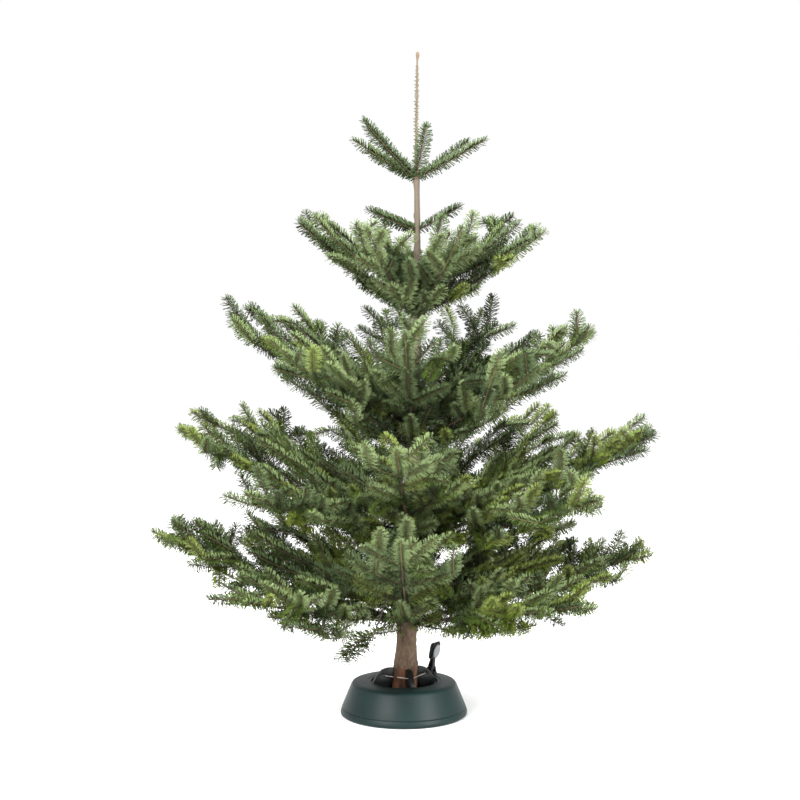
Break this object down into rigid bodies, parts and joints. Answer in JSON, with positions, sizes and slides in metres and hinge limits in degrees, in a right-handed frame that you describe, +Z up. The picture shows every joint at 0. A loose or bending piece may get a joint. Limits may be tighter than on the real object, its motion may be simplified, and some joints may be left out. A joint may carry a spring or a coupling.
{
  "type": "christmas tree",
  "caption": "Cut fir tree with tiers of foliage on a tapering stem, clamped in a round water-filled plastic stand with a foot pedal.",
  "frame": {"origin": "middle of the stand's flat underside, on the ground", "axes": "+Z up along the stem, +X to the right, -Y to the front"},
  "size_m": [1.5115, 1.1672, 1.977],
  "materials": {
    "bark": "rough grey-brown bark",
    "needles": "soft green needles",
    "green_plastic": "dark green satin",
    "black_plastic": "black satin",
    "wire": "twisted steel wire",
    "pad": "light grey"
  },
  "bodies": {
    "tree": {"bough_bottom_1": "bark", "bough_bottom_2": "bark", "bough_bottom_3": "bark", "bough_bottom_5": "bark", "bough_bottom_6": "bark", "bough_bottom_7": "bark", "bough_bottom_8": "bark", "bough_lower_1": "bark", "bough_lower_2": "bark", "bough_lower_6": "bark", "bough_lower_7": "bark", "bough_lower_8": "bark", "bough_lower_9": "bark", "bough_middle_5": "bark", "bough_middle_7": "bark", "bough_middle_8": "bark", "claw_1": "black_plastic", "claw_2": "black_plastic", "claw_3": "black_plastic", "claw_4": "black_plastic", "foliage_between": "needles", "foliage_bottom_1": "needles", "foliage_bottom_2": "needles", "foliage_bottom_3": "needles", "foliage_bottom_4": "needles", "foliage_bottom_5": "needles", "foliage_bottom_6": "needles", "foliage_bottom_7": "needles", "foliage_bottom_8": "needles", "foliage_hanging": "needles", "foliage_lower_1": "needles", "foliage_lower_2": "needles", "foliage_lower_3": "needles", "foliage_lower_4": "needles", "foliage_lower_5": "needles", "foliage_lower_6": "needles", "foliage_lower_7": "needles", "foliage_lower_8": "needles", "foliage_lower_9": "needles", "foliage_middle_1": "needles", "foliage_middle_2": "needles", "foliage_middle_3": "needles", "foliage_middle_4": "needles", "foliage_middle_5": "needles", "foliage_middle_6": "needles", "foliage_middle_7": "needles", "foliage_middle_8": "needles", "foliage_top": "needles", "foliage_upper_1": "needles", "foliage_upper_2": "needles", "foliage_upper_3": "needles", "foliage_upper_4": "needles", "foliage_upper_5": "needles", "foliage_upper_6": "needles", "stand_shell": "green_plastic", "stand_tank": "black_plastic", "trunk": "bark", "wire_loop": "wire"},
    "pedal": {"pedal_arm": "black_plastic", "pedal_pad": "pad"}
  },
  "joints": [
    {"name": "pedal_hinge", "type": "hinge", "parent": "tree", "child": "pedal", "pos_m": [0.084, 0.096, 0.116], "axis": [0.5878, 0.809, 0], "range_deg": [0, 55], "stiffness_Nm_per_rad": 0.2}
  ]
}
